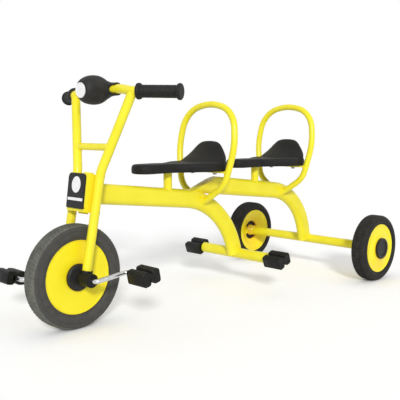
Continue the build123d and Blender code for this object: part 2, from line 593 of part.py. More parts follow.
# ---- seats: a flat pan with a nose, and a raised back that leans out of it ------------------------------
# Level slices of the raised back: height above the underside, middle from the back edge, half length, and
# half width as a share of the seat's own.
BACK_SLICES = [
    (0.5 * PAN_THICK, 46.0, 43.0, 0.98),
    (1.4 * PAN_THICK, 34.0, 33.0, 0.94),
    (50.0, 25.0, 24.0, 0.84),
    (67.0, 18.0, 16.0, 0.68),
    (79.0, 14.0, 11.0, 0.53),
    (85.0, 12.0, 6.0, 0.36),
]


def seat():
    """Moulded saddle, its back edge at x = 0, nose forward, underside at z = 0."""
    half = [(0, SEAT_HALF), (HIP_LENGTH, SEAT_HALF), (WAIST_X, NOSE_HALF), (SEAT_LENGTH, NOSE_HALF)]
    outline = half + [(x, -y) for x, y in reversed(half)]
    rounds = [BACK_ROUND, HIP_ROUND, WAIST_ROUND, NOSE_HALF - 1]
    with BuildSketch(Plane.XY) as plan:
        with BuildLine():
            FilletPolyline(*outline, radius=rounds + rounds[::-1], close=True)
        make_face()
    pan = extrude(plan.sketch, PAN_THICK)
    pan = fillet(pan.edges().group_by(Axis.Z)[-1], PAN_TOP_ROUND)
    pan = fillet(pan.edges().group_by(Axis.Z)[0], PAN_LOW_ROUND)
    slices = [Pos(x, 0, z) * Ellipse(long, wide * SEAT_HALF) for z, x, long, wide in BACK_SLICES]
    return pan + loft(slices)


# ---- backrest hoops -------------------------------------------------------------------------------------
HOOP_FOOT_HALF = 4.0  # the legs end this much each side of the middle, inside the beam
HOOP_FOOT_DROP = 12.0  # and this much below the beam's middle
HOOP_CORNERS = [(0.79, 0.16), (1.0, 0.55), (0.86, 0.92)]  # as shares of the half breadth and the height
HOOP_BENDS = [70.0, 200.0, 80.0]
HOOP_CROWN_BEND = 160.0


def hoop(radius):
    """Backrest hoop in its own plane: X across, Y up the lean from the middle of the beam."""
    right = [(HOOP_FOOT_HALF, -HOOP_FOOT_DROP, 0)]
    right += [(x * HOOP_HALF, y * HOOP_HEIGHT, 0) for x, y in HOOP_CORNERS]
    left = [(-x, y, z) for x, y, z in reversed(right)]
    bends = HOOP_BENDS + [HOOP_CROWN_BEND] + HOOP_BENDS[::-1]
    return rod(right + [(0, HOOP_HEIGHT, 0)] + left, bends, radius)


for row, (shift, step) in ROWS.items():
    post_x = REAR_X + POST_X + shift
    beam_top = beam_line(post_x, step) + BEAM_DEPTH / 2 / cos(radians(BEAM_SLOPE))
    seat_z = beam_top + POST_HEIGHT
    save(Pos(REAR_X + SEAT_BACK_X + shift, 0, seat_z) * seat(), f"seat_{row}")

    post_low = beam_line(post_x, step)
    post = Pos(post_x, 0, post_low) * Cylinder(POST_R, seat_z - SEAT_GAP - post_low, align=ON_FLOOR)
    save(largest(post - beam_blanks[row]), f"seat_post_{row}")

    foot_x = REAR_X + HOOP_FOOT_X + shift
    foot_z = beam_line(foot_x, step)
    lean = radians(HOOP_LEAN)
    hoop_plane = Plane(origin=(foot_x, 0, foot_z), x_dir=(0, 1, 0), z_dir=(cos(lean), 0, sin(lean)))
    save(largest(hoop_plane.location * hoop(HOOP_R) - beam_blanks[row]), f"hoop_{row}")

    bar_z = seat_z - SEAT_GAP - SEAT_BAR_T / 2
    bar_x = foot_x - (bar_z - foot_z) * tan(lean)
    bar = Pos(bar_x, 0, bar_z) * Box(SEAT_BAR_W, 2 * HOOP_HALF, SEAT_BAR_T)
    save(largest(bar - hoop_plane.location * hoop(HOOP_R + SEAT_GAP)), f"seat_bar_{row}")
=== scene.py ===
# %% [markdown]
# # A children's tandem tricycle
# Two small riders sit one behind the other on this machine. The steel frame, the wheels and everything that turns
# come from a construction model that is already at its real size, so this lesson is about looks: what each surface
# is made of, how that was done in the workshop, and the small pieces that such a machine also has, such as tyre
# tread, weld beads and bolt heads. All lengths are in metres, +X is forward, +Y is the riders' left and +Z is up.

# %% Load the frame
import json
from math import cos, hypot, pi, radians, sin

import bmesh
import bpy
from mathutils import Matrix, Vector
from mathutils.bvhtree import BVHTree


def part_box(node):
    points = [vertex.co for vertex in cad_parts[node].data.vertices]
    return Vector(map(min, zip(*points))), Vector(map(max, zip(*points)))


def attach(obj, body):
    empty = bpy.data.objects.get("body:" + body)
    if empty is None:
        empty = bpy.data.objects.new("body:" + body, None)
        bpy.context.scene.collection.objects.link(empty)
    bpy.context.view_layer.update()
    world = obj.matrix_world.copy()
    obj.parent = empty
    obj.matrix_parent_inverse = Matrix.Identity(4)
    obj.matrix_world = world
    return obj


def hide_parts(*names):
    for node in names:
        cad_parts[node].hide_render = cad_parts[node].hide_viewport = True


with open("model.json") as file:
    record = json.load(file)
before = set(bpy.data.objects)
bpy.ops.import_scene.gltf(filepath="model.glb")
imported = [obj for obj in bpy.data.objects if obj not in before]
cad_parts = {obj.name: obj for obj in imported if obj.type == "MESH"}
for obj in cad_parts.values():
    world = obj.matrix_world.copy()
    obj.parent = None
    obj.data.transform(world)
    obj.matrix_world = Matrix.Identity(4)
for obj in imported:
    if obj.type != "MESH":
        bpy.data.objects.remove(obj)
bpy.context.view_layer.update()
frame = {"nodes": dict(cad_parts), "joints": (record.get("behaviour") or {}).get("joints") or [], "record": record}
joint_places = {joint["name"]: Vector(joint["pos_m"]) for joint in frame["joints"]}
MM = 0.001

# %% [markdown]
# ## The view
# A rather long lens from the front left, at the height of the backrests and looking slightly down, shows both seats,
# all three wheels and the crank at once. The long lens also keeps the nearest parts from looking too large.

# %% Camera
CAMERA_PLACE = (1.3471, 1.2926, 0.4876)
CAMERA_TILT = 83.67  # degrees up from straight down
CAMERA_TURN = 134.66  # degrees from looking along +Y
LENS = 57.02
MIDDLE_HEIGHT = 0.3

camera_data = bpy.data.cameras.new("camera")
camera_data.lens = LENS
camera = bpy.data.objects.new("camera", camera_data)
camera.location = CAMERA_PLACE
camera.rotation_euler = (radians(CAMERA_TILT), 0, radians(CAMERA_TURN))
bpy.context.scene.collection.objects.link(camera)
bpy.context.scene.camera = camera
bpy.context.scene.view_settings.view_transform = "Standard"
print("camera", round((camera.location - Vector((0, 0, MIDDLE_HEIGHT))).length, 2), "m from the middle")

# %% [markdown]
# ## Colour and shader helpers
# Paint and plastic colours are easiest to name as on a paint card, in sRGB hex. The renderer adds light up, so it needs
# the linear amount of each primary, and one function does that change. A second function adds any shader node: plain
# values are set on its sockets, and sockets given as values become links.


# %% Helpers for materials
def linear(code):
    """The linear red, green, blue and alpha of an sRGB hex code such as 'F4E01E'."""
    parts = [int(code[i : i + 2], 16) / 255 for i in (0, 2, 4)]
    return tuple(c / 12.92 if c <= 0.04045 else ((c + 0.055) / 1.055) ** 2.4 for c in parts) + (1.0,)


def add(tree, kind, inputs=None, **settings):
    """Add a shader node. inputs maps socket names or numbers to values or to other nodes' output sockets."""
    node = tree.nodes.new("ShaderNode" + kind)
    for name, value in settings.items():
        setattr(node, name, value)
    for key, value in (inputs or {}).items():
        if isinstance(value, bpy.types.NodeSocket):
            tree.links.new(value, node.inputs[key])
        else:
            node.inputs[key].default_value = value
    return node


def material(name, roughness, **shader):
    """A material with one Principled shader. Other settings are named after its sockets, with _ for a space."""
    made = bpy.data.materials.new(name)
    made.use_nodes = True
    principled = made.node_tree.nodes["Principled BSDF"]
    principled.inputs["Roughness"].default_value = roughness
    for key, value in shader.items():
        principled.inputs[key.replace("_", " ")].default_value = value
    return made, made.node_tree, principled


# %% [markdown]
# ## Colour, relief and painted corner shade
# No real surface has one even colour or a perfect shape. These helpers let a colour wander between two close shades
# and give the skin a fine relief. One paints shade into the colour, turning it deeper and warmer in corners, where
# less light reaches. A last one gives a finish to construction pieces.

# %% Helpers for colour and relief
NOISE_LOW, NOISE_HIGH = 0.35, 0.65  # nearly all of the noise lies between these
SHUT_IN, OPEN = 0.2, 0.8  # shares of open sky where paint_corner_shade() paints all of its shade and none
SKY_SAMPLES = 6


def noise(tree, size, detail=2.0):
    """Noise with features about `size` metres across, fixed to the piece."""
    place = add(tree, "TexCoord").outputs["Object"]
    return add(tree, "TexNoise", {"Vector": place, "Scale": 1 / size, "Detail": detail}).outputs["Fac"]


def blend_colours(tree, share, first, second):
    """Colour between two others, each an sRGB hex code or a socket, as share goes from 0 to 1."""
    ends = [linear(end) if isinstance(end, str) else end for end in (first, second)]
    return add(tree, "Mix", {0: share, 6: ends[0], 7: ends[1]}, data_type="RGBA").outputs[2]


def mottle(tree, shader, dark, light, size):
    """Let the base colour wander between two close shades, in patches of about `size` metres."""
    limits = {"From Min": NOISE_LOW, "From Max": NOISE_HIGH}
    share = add(tree, "MapRange", {"Value": noise(tree, size, 3.0), **limits})
    colour = blend_colours(tree, share.outputs[0], dark, light)
    tree.links.new(colour, shader.inputs["Base Color"])
    return colour


def open_sky(tree, reach):
    """Share of the sky that nothing within `reach` hides: 1 in the open, less in corners."""
    return add(tree, "AmbientOcclusion", {"Distance": reach}, samples=SKY_SAMPLES).outputs["AO"]


def paint_corner_shade(tree, shader, colour, deep, reach, amount):
    """Painted shade: turn the base colour towards `deep` in corners, by `amount` where they are quite shut in."""
    # painted shade: the less open sky, the more the colour turns towards `deep`
    limits = {"From Min": SHUT_IN, "From Max": OPEN, "To Min": amount, "To Max": 0.0}
    share = add(tree, "MapRange", {"Value": open_sky(tree, reach), **limits})
    tree.links.new(blend_colours(tree, share.outputs[0], colour, deep), shader.inputs["Base Color"])


def relief(tree, shader, height, depth, under=None):
    """Bump of `depth` metres from a height between 0 and 1. under is the normal of another relief."""
    inputs = {"Height": height, "Distance": depth, "Strength": 1.0}
    if under is not None:
        inputs["Normal"] = under
    bump = add(tree, "Bump", inputs)
    tree.links.new(bump.outputs[0], shader.inputs["Normal"])
    return bump.outputs[0]


def dress(names, finish):
    """Give one finish to construction nodes, in their objects' own material slots."""
    for name in names:
        shown = frame["nodes"][name]
        if not shown.material_slots:
            shown.data.materials.append(finish)
        for place in shown.material_slots:
            place.link = "OBJECT"
            place.material = finish


def nodes_in(slot):
    """Names of the construction nodes in one material slot."""
    return [part["node"] for part in frame["record"]["subparts"] if part["material_slot"] == slot]


# %% [markdown]
# ## Floor and light
# A product like this is shown on seamless white paper. The world is plain white to the camera and to reflections, and
# weaker as a light. One broad lamp low behind the viewer gives the pale shadows that fall away from us. The floor is
# white paper with a little glow that only the camera and reflections see, so that it reads as white and still holds
# the shadows. The glow fades close to what stands on it, which paints a darker contact shadow there.

# %% World and lamp
AMBIENT = 0.52  # share of the light that comes evenly from all round
KEY = 0.66  # share that comes from the lamp, on a surface that faces it
KEY_TURN = 50.0  # degrees of the lamp's direction from +X towards +Y
KEY_HEIGHT = 26.0  # degrees above the floor
KEY_SPREAD = 9.0  # degrees across, as seen from the tricycle
WHITE = (1, 1, 1, 1)


def shown_rays(tree):
    """1 for rays that show something to the eye: straight from the camera, or off gloss or through glass."""
    rays = add(tree, "LightPath").outputs
    either = {0: rays["Is Glossy Ray"], 1: rays["Is Transmission Ray"]}
    indirect = add(tree, "Math", either, operation="MAXIMUM").outputs[0]
    return add(tree, "Math", {0: rays["Is Camera Ray"], 1: indirect}, operation="MAXIMUM").outputs[0]


world = bpy.data.worlds.new("white_studio")
world.use_nodes = True
bpy.context.scene.world = world
sky = world.node_tree
sky.nodes.clear()
lighting = add(sky, "Background", {"Color": WHITE, "Strength": AMBIENT})
backdrop = add(sky, "Background", {"Color": WHITE, "Strength": 1.0})
seen = add(sky, "MixShader", {0: shown_rays(sky), 1: lighting.outputs[0], 2: backdrop.outputs[0]})
add(sky, "OutputWorld", {"Surface": seen.outputs[0]})

lamp_data = bpy.data.lights.new("key_lamp", "SUN")
lamp_data.energy = KEY * pi
lamp_data.angle = radians(KEY_SPREAD)
lamp = bpy.data.objects.new("key_lamp", lamp_data)
towards = Vector((cos(radians(KEY_TURN)), sin(radians(KEY_TURN)), 0)) * cos(radians(KEY_HEIGHT))
towards.z = sin(radians(KEY_HEIGHT))
lamp.rotation_euler = towards.to_track_quat("Z", "Y").to_euler()
bpy.context.scene.collection.objects.link(lamp)
print("light on a face towards the lamp", AMBIENT + KEY)

# %% Paper floor
FLOOR_GLOW = 0.27
CONTACT_REACH = 90 * MM  # the glow fades this near to what stands on the floor, a painted contact shadow
FLOOR_HALF = 30.0

paper = bpy.data.materials.new("white_paper")
paper.use_nodes = True
tree = paper.node_tree
tree.nodes.clear()
# painted shadow: the glow is weaker where something nearby hides the sky
glow_share_with_painted_shadow = add(tree, "Math", {0: shown_rays(tree), 1: open_sky(tree, CONTACT_REACH)}, operation="MULTIPLY")
glow = add(tree, "Math", {0: glow_share_with_painted_shadow.outputs[0], 1: FLOOR_GLOW}, operation="MULTIPLY")
sheet = add(tree, "BsdfDiffuse", {"Color": linear("F5F5F5")})
lit = add(tree, "Emission", {"Color": WHITE, "Strength": glow.outputs[0]})
both = add(tree, "AddShader", {0: sheet.outputs[0], 1: lit.outputs[0]})
add(tree, "OutputMaterial", {"Surface": both.outputs[0]})

floor_mesh = bpy.data.meshes.new("floor")
corners = [(x * FLOOR_HALF, y * FLOOR_HALF, 0) for x, y in ((-1, -1), (1, -1), (1, 1), (-1, 1))]
floor_mesh.from_pydata(corners, [], [(0, 1, 2, 3)])
floor_mesh.materials.append(paper)
floor = bpy.data.objects.new("floor", floor_mesh)
bpy.context.scene.collection.objects.link(floor)
print("floor", 2 * FLOOR_HALF, "m square")

# %% [markdown]
# ## Yellow powder coat on steel
# The welded frame is cleaned, dried, and sprayed with polyester powder that melts in an oven into a thick, even skin.
# It is a plain plastic layer, so it is not metallic, with the IOR of most resins, 1.5. What gives it away is orange
# peel: a very low swell about 4 mm across that makes reflections swim. The colour is nearly constant, since powder
# covers well, and only wanders a little. In corners the light has gone from one yellow face to the next, so it is a
# little warmer there, and that warmer corner shade is painted into the colour. The heads of the steering pin are
# coated along with the fork.

# %% Powder coat
powder_coat, tree, shader = material("powder_coat_lemon_yellow", 0.30, IOR=1.5, Specular_IOR_Level=0.4)
colour = mottle(tree, shader, "F0E224", "F5E932", 60 * MM)
# painted shade: corners turn towards a warmer, darker yellow
paint_corner_shade(tree, shader, colour, "F4C00C", 60 * MM, 0.22)
relief(tree, shader, noise(tree, 4.0 * MM, 1.0), 0.02 * MM)
coated = nodes_in("yellow_paint") + ["steering_pin"]
dress(coated, powder_coat)
print(len(coated), "powder-coated nodes")

# %% [markdown]
# ## Injection-moulded yellow wheel discs
# The discs are polypropylene, coloured through. A mould gives them a smooth satin skin, a shade more open than the
# powder coat and slightly softer at the edge of a highlight. A little light also enters such plastic. Their shaded
# hollows are painted a warmer yellow, as painted shade. The front disc is nearly flat. The rear ones are deep cones
# that shut much more light in, so their painted shade reaches further and turns almost orange.


# %% Disc plastic
def disc_plastic(name, deep, reach, amount):
    """Yellow plastic with painted shade: it turns towards `deep` in hollows up to `reach` metres across."""
    made, tree, shader = material(name, 0.34, IOR=1.49, Specular_IOR_Level=0.4)
    colour = mottle(tree, shader, "F9E71A", "FCEC26", 45 * MM)
    # painted shade in the disc's hollows
    paint_corner_shade(tree, shader, colour, deep, reach, amount)
    relief(tree, shader, noise(tree, 3.0 * MM, 1.0), 0.02 * MM)
    shader.inputs["Subsurface Weight"].default_value = 0.08
    shader.inputs["Subsurface Radius"].default_value = (1.0, 0.75, 0.1)
    shader.inputs["Subsurface Scale"].default_value = 3 * MM
    return made


# painted shade: a little in the flat front disc, strong and far-reaching in the coned rear ones
flat_disc = disc_plastic("moulded_polypropylene_yellow_flat_disc", "F09A04", 30 * MM, 0.4)
coned_disc = disc_plastic("moulded_polypropylene_yellow_coned_disc", "EE9400", 110 * MM, 1.0)
dress(["front_disc"], flat_disc)
dress(["rear_disc_left", "rear_disc_right"], coned_disc)
print("disc plastics", flat_disc.name, coned_disc.name)

# %% [markdown]
# ## Black moulded plastic
# Saddles and handlebar pad are polyethylene, and pedals, hub covers and bearing blocks are nylon, all with carbon
# black. The mould is spark-eroded, which leaves a fine even grain and a dull sheen: a rough surface with weak
# reflections that never gets quite black. The hub covers sit in shade and are painted a little paler, as painted light.
# Real grain is about 0.4 mm, too fine to show at this distance, so it is drawn at about 1 mm.


# %% Black plastics
def black_plastic(name, dark, light, roughness, grain, depth):
    """Black plastic with a grain of `grain` metres across and `depth` metres high, on a long low swell."""
    made, tree, shader = material(name, roughness, IOR=1.5, Specular_IOR_Level=0.2)
    mottle(tree, shader, dark, light, 25 * MM)
    coarse = relief(tree, shader, noise(tree, grain, 2.0), depth)
    relief(tree, shader, noise(tree, 14 * MM, 1.0), 0.08 * MM, coarse)
    return made


seat_plastic = black_plastic("moulded_polyethylene_black_grained", "171717", "1E1D1C", 0.60, 1.0 * MM, 0.03 * MM)
pad_plastic = black_plastic("moulded_polyethylene_black_speckled", "242423", "323130", 0.60, 1.4 * MM, 0.05 * MM)
part_plastic = black_plastic("moulded_nylon_black_satin", "161616", "1C1C1B", 0.50, 0.8 * MM, 0.02 * MM)
# painted light: the same nylon, paler to lift the shade that the hub covers sit in
hub_plastic_painted_lighter = black_plastic("moulded_nylon_black_hub_painted_lighter", "262625", "2E2E2D", 0.50, 0.8 * MM, 0.02 * MM)
black_nodes = nodes_in("black_plastic")
hubs = [node for node in black_nodes if "hub" in node]
dress(black_nodes, part_plastic)
dress(hubs, hub_plastic_painted_lighter)
print(len(black_nodes), "black nodes,", len(hubs), "of them hub covers")

# %% [markdown]
# ## Rubber
# The tyres are solid rubber and never need air. Their sides keep the satin skin of the mould and the tread is ground
# matt by use. The tread is also painted paler than the side, as painted light where the lamp and the floor light it.
# The front tyre is a grey non-marking compound, the rear ones hold more carbon and are nearly black. The grips are a
# soft black vinyl.


# %% Rubbers
def rubber(name, dark, light, roughness):
    """Rubber with a fine matt skin on a longer, higher unevenness."""
    made, tree, shader = material(name, roughness, IOR=1.52, Specular_IOR_Level=0.22)
    mottle(tree, shader, dark, light, 18 * MM)
    fine = relief(tree, shader, noise(tree, 0.9 * MM, 3.0), 0.04 * MM)
    relief(tree, shader, noise(tree, 9 * MM, 1.0), 0.12 * MM, fine)
    return made


front_rubber = rubber("solid_rubber_grey_side", "444340", "4C4B49", 0.62)
# painted light: the tread is the side's rubber, painted paler where light falls on it
front_tread_painted_light = rubber("solid_rubber_grey_tread_painted_light", "5B5C55", "6D6E66", 0.85)
rear_rubber = rubber("solid_rubber_black_side", "191817", "201F1E", 0.60)
# painted light: paler tread, as on the front tyre
rear_tread_painted_light = rubber("solid_rubber_black_tread_painted_light", "272624", "33322F", 0.80)
grip_rubber = rubber("soft_vinyl_black_grip", "1B1B1A", "222120", 0.58)
dress(["front_tyre"], front_rubber)
dress(["rear_tyre_left", "rear_tyre_right"], rear_rubber)
dress(["grip_left", "grip_right"], grip_rubber)
print("rubbers", front_rubber.name, rear_rubber.name, grip_rubber.name)

# %% [markdown]
# ## Plated steel
# The crank and the axle are drawn steel rod, polished along its length and plated. Metal has no colour of its own
# under the plating but tints its reflection, so the base colour is a pale grey and metallic is 1. Fine unevenness left
# by polishing widens highlights slightly. Bolts are zinc plated in a barrel, which leaves them darker and duller.

# %% Plated steel
plated_steel, tree, shader = material("bright_plated_steel", 0.18, Metallic=1.0)
mottle(tree, shader, "C6C6C8", "D8D8D8", 8 * MM)
relief(tree, shader, noise(tree, 1.2 * MM, 2.0), 0.01 * MM)
dress(["crank", "rear_axle"], plated_steel)

zinc_steel, tree, shader = material("zinc_plated_steel_bolts", 0.42, Metallic=1.0)
mottle(tree, shader, "9C9C9A", "B4B4B0", 3 * MM)
relief(tree, shader, noise(tree, 0.8 * MM, 2.0), 0.02 * MM)
print("metals", plated_steel.name, zinc_steel.name)

# %% [markdown]
# ## Plates
# The plate ahead of the steering head and the badge on the pad carry no print on this machine. The plate is gloss black
# acrylic, later given a plain disc and a stripe of white vinyl film, and the badge is a plain white cap.

# %% Plate finishes
black_acrylic, tree, shader = material("gloss_acrylic_black", 0.22, IOR=1.49, Specular_IOR_Level=0.25)
mottle(tree, shader, "0E0F12", "131417", 20 * MM)
relief(tree, shader, noise(tree, 15 * MM, 1.0), 0.05 * MM)
white_vinyl, tree, shader = material("white_vinyl_film", 0.35, IOR=1.5, Specular_IOR_Level=0.4)
mottle(tree, shader, "EDEDEE", "F5F5F5", 12 * MM)
relief(tree, shader, noise(tree, 4 * MM, 1.0), 0.02 * MM)
dress(["head_plate"], black_acrylic)
dress(["pad_badge"], white_vinyl)
print("plate finishes", black_acrylic.name, white_vinyl.name)

# %% [markdown]
# ## Making pieces
# The pieces below are built point by point. One helper turns a mesh into an object with its finish and its body.
# The others work as a lathe and a press do: one spins an outline round an axis, and one pushes it along an axis.


# %% A finished piece
def add_piece(name, shape, finish, body, replaces=(), sharp=35.0):
    """Make an object of a bmesh, finish it, parent it to the body it moves with, and hide the nodes it replaces."""
    bmesh.ops.recalc_face_normals(shape, faces=shape.faces)
    data = bpy.data.meshes.new(name)
    shape.to_mesh(data)
    shape.free()
    for face in data.polygons:
        face.use_smooth = True
    data.set_sharp_from_angle(angle=radians(sharp))
    data.materials.append(finish)
    made = bpy.data.objects.new(name, data)
    bpy.context.scene.collection.objects.link(made)
    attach(made, body)
    if replaces:
        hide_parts(*replaces)
    return made


# %% Spin and push
def join_rings(shape, low, high, turn=0):
    """Faces between two rings of points. The second may be taken `turn` points on, and a pole repeats one point."""
    count = len(low)
    faces = []
    for a in range(count):
        b = (a + 1) % count
        corners = (low[a], low[b], high[(b + turn) % count], high[(a + turn) % count])
        faces.append(shape.faces.new(list(dict.fromkeys(corners))))
    return faces


def spin(shape, outline, place, columns=48, closed=False, change=None):
    """Spin an outline of (radius, along) points about the Z axis of `place`. change(row, column) may move a point:
    it returns a radial step and a turn in radians. A radius of 0 makes a pole. Returns the faces by row."""
    rings = []
    for row, (radius, along) in enumerate(outline):
        if radius == 0:
            rings.append([shape.verts.new(place @ Vector((0, 0, along)))] * columns)
            continue
        ring = []
        for column in range(columns):
            step, turn = change(row, column) if change else (0.0, 0.0)
            angle = 2 * pi * column / columns + turn
            point = Vector(((radius + step) * cos(angle), (radius + step) * sin(angle), along))
            ring.append(shape.verts.new(place @ point))
        rings.append(ring)
    pairs = list(zip(rings, rings[1:])) + ([(rings[-1], rings[0])] if closed else [])
    return [join_rings(shape, low, high) for low, high in pairs]


def push(shape, outline, place, length, bevel=0.0):
    """Push a closed outline of (x, y) points along Z of `place`, with a small bevel at both ends."""
    middle = Vector((sum(x for x, _ in outline), sum(y for _, y in outline))) / len(outline)
    extent = max(max(abs(x - middle.x), abs(y - middle.y)) for x, y in outline)
    levels = [(0, bevel), (bevel, 0), (length - bevel, 0), (length, bevel)] if bevel else [(0, 0), (length, 0)]
    rings = []
    for z, inset in levels:
        share = 1 - inset / extent
        flat = [middle + (Vector(point) - middle) * share for point in outline]
        rings.append([shape.verts.new(place @ Vector((p.x, p.y, z))) for p in flat])
    for low, high in zip(rings, rings[1:]):
        join_rings(shape, low, high)
    shape.faces.new(list(reversed(rings[0])))
    shape.faces.new(rings[-1])


def arc(middle, radius, start, stop, steps):
    """Points on a circular arc, angles in degrees."""
    angles = [radians(start + (stop - start) * i / steps) for i in range(steps + 1)]
    return [(middle[0] + radius * cos(a), middle[1] + radius * sin(a)) for a in angles]


def oval(middle, half_x, half_y, steps):
    """Points on a closed oval."""
    angles = [2 * pi * i / steps for i in range(steps)]
    return [(middle[0] + half_x * cos(a), middle[1] + half_y * sin(a)) for a in angles]


# %% [markdown]
# ## Finding places
# No place is typed in twice. Where a new piece belongs is measured on the construction model: the middle of a node's
# box, or the middle and direction of its largest flat face on one side.


# %% Helpers for places
def frame_at(point, axis, ahead=Vector((1, 0, 0))):
    """Placement whose Z runs along `axis` and whose X lies as near as it can to `ahead`."""
    z = Vector(axis).normalized()
    y = z.cross(ahead).normalized()
    x = y.cross(z)
    turn = Matrix((x, y, z)).transposed().to_4x4()
    return Matrix.Translation(point) @ turn


def middle_of(node):
    """Middle of a node's box."""
    low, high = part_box(node)
    return (low + high) / 2


def flat_face(node, towards):
    """Middle and normal of the largest flat face of a node that looks roughly `towards`."""
    groups = {}
    for face in frame["nodes"][node].data.polygons:
        if face.normal.dot(towards) > 0.6:
            level = face.center.dot(face.normal)
            key = (*(round(part, 3) for part in face.normal), round(level, 4))
            groups.setdefault(key, []).append(face)
    faces = max(groups.values(), key=lambda group: sum(face.area for face in group))
    area = sum(face.area for face in faces)
    return sum((face.center * face.area for face in faces), Vector()) / area, faces[0].normal.copy()


# %% [markdown]
# ## Tyres
# A solid tyre is pressed in a steel mould and stretched over its disc. Its outline is spun round the axle: a thin bead
# that grips the disc, a nearly flat side with one fine line, a round shoulder and the tread. The grid of the spun mesh
# carries the tread: some rows are lowered into grooves round the tyre, and in each pitch two columns are lowered into
# grooves across it. Columns may lean from row to row, so the cross grooves zigzag with no extra points. The front tyre
# has ribs with notched shoulders, the rear ones have zigzag blocks, as on a small barrow.

# %% Tyre outline
GROOVE = 1.6 * MM
GROOVE_SECTION = ((1.4, 0), (0.9, 1), (-0.9, 1), (-1.4, 0))  # mm from a ring groove's middle, share of its depth
SIDE_LINE = ((-1.2, 0), (-0.6, 0.7), (0.6, 0.7), (1.2, 0))  # mm from the middle of the line on the side, mm deep
LINE_OUT = 2 * MM  # that line lies this far outside the middle of the side
BEAD_STEP = 4 * MM
SHOULDER = 12 * MM
SHOULDER_STEPS = 8
CROSS_FROM = 5  # the cross grooves begin at this step round the shoulder


def tyre_rows(radius, width, hole, grooves):
    """Rows of the outline from the left bead to the right one: radius, along, share of cross groove, ring groove."""
    side = width / 2
    bead_top = hole + 2 * BEAD_STEP
    rows = [(hole, side - BEAD_STEP, 0, 0), (hole + BEAD_STEP, side - BEAD_STEP, 0, 0)]
    rows += [(bead_top - 1 * MM, side - 0.6 * MM, 0, 0), (bead_top + 1 * MM, side, 0, 0)]
    line = (hole + radius) / 2 + LINE_OUT
    rows += [(line + step * MM, side - sink * MM, 0, 0) for step, sink in SIDE_LINE]
    quarter = arc((side - SHOULDER, radius - SHOULDER), SHOULDER, 0, 90, SHOULDER_STEPS)
    rows += [(reach, along, 1.0 if i >= CROSS_FROM else 0.0, 0) for i, (along, reach) in enumerate(quarter)]
    for middle in grooves:
        rows += [(radius, middle * MM + offset * MM, 1.0, ring) for offset, ring in GROOVE_SECTION]
    mirrored = [(r, -y, cross, ring) for r, y, cross, ring in reversed(rows)]
    return rows + [(radius, 0.0, 1.0, 0)] + mirrored


# %% Treaded tyres
COLUMN_SHARES = (0.0, 0.24, 0.48, 0.72, 0.77, 0.95)  # of one pitch: four on the block, two in the groove
BLOCK_COLUMNS = 4
ZIGZAG = 9 * MM  # the cross grooves change direction this often across the tread


def make_tyre(name, body, width, hole, grooves, pitches, lean, through, side_finish, tread_finish):
    """Treaded tyre in place of the construction node of the same name. grooves are the places of the ring grooves
    in mm. `through` says whether cross grooves also cut what lies between the outer two of them."""
    low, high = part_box(name)
    rows = tyre_rows((high.z - low.z) / 2, width, hole, grooves)
    per_pitch = len(COLUMN_SHARES)

    def change(row, column):
        _, along, cross, ring = rows[row]
        place_in_pitch = column % per_pitch
        share = COLUMN_SHARES[place_in_pitch] - place_in_pitch / per_pitch
        in_groove = place_in_pitch >= BLOCK_COLUMNS and (through or abs(along) > grooves[0] * MM)
        depth = GROOVE * max(ring, cross if in_groove else 0)
        wave = abs((along / ZIGZAG) % 2 - 1)
        return -depth, (share + lean * wave) * 2 * pi / pitches

    shape = bmesh.new()
    outline = [(r, y) for r, y, _, _ in rows]
    place = frame_at(middle_of(name), (0, 1, 0))
    strips = spin(shape, outline, place, pitches * per_pitch, closed=True, change=change)
    first = next(i for i, row in enumerate(rows) if row[2] > 0)
    for i, strip in enumerate(strips):
        for face in strip:
            face.material_index = 1 if first - 2 <= i <= len(rows) - first else 0
    made = add_piece(name + "_treaded", shape, side_finish, body, (name,), 40.0)
    made.data.materials.append(tread_finish)
    return made


front_tyre = make_tyre(
    "front_tyre", "front_wheel", width=45 * MM, hole=92.5 * MM, grooves=(7.0, 2.6), pitches=80, lean=0.5,
    through=False, side_finish=front_rubber, tread_finish=front_tread_painted_light,
)
for side in ("left", "right"):
    make_tyre(
        "rear_tyre_" + side, "rear_wheel_" + side, width=50 * MM, hole=78 * MM, grooves=(8.5,), pitches=56, lean=0.45,
        through=True, side_finish=rear_rubber, tread_finish=rear_tread_painted_light,
    )
print("front tyre", len(front_tyre.data.polygons), "faces")

# %% [markdown]
# ## Saddles and handlebar pad
# Both are blow-moulded shells, so no edge on them is sharp: wherever two faces meet, the plastic flows round in a
# generous curve. The construction solids have the right size but meet in hard lines. Remeshing a copy in small voxels
# and relaxing it rounds every edge and fills every hollow line, as blow moulding does. The saddles are then dished a
# little where a rider sits, their backs are crowned, and a fine ridge shows where the halves of the mould met.


# %% Remesh and relax
def moulded_copy(node, voxel, passes):
    """An evenly meshed, relaxed copy of a construction node's mesh, as a bmesh."""
    copy = bpy.data.objects.new(node + "_copy", frame["nodes"][node].data.copy())
    bpy.context.scene.collection.objects.link(copy)
    remesh = copy.modifiers.new("even", "REMESH")
    remesh.mode = "VOXEL"
    remesh.voxel_size = voxel
    relax = copy.modifiers.new("relax", "SMOOTH")
    relax.iterations = passes
    relax.factor = 0.5
    graph = bpy.context.evaluated_depsgraph_get()
    shape = bmesh.new()
    shape.from_mesh(copy.evaluated_get(graph).to_mesh())
    bpy.data.objects.remove(copy)
    return shape


# %% Saddles
SEAT_DISH = 3.5 * MM
DISH_X = 125 * MM  # middle of the dish ahead of the saddle's back edge
DISH_LENGTH = 90 * MM  # from there to its front and back
DISH_WIDTH = 0.85  # share of the saddle's half width
DISH_FLOOR = 15 * MM  # what lies lower than this keeps its shape
PAN_TOP = 26 * MM  # the back rises above this height over the underside
CREST_DROP = 3.5 * MM  # the top of the back falls this much towards its corners
CREST_HALF = 35 * MM
PARTING_RISE = 12 * MM  # the mould's halves meet this far above the underside
PARTING_HALF = 1.3 * MM
PARTING_RIDGE = 0.5 * MM
UPRIGHT = 0.4  # a face is a side wall if the upward part of its normal is smaller than this

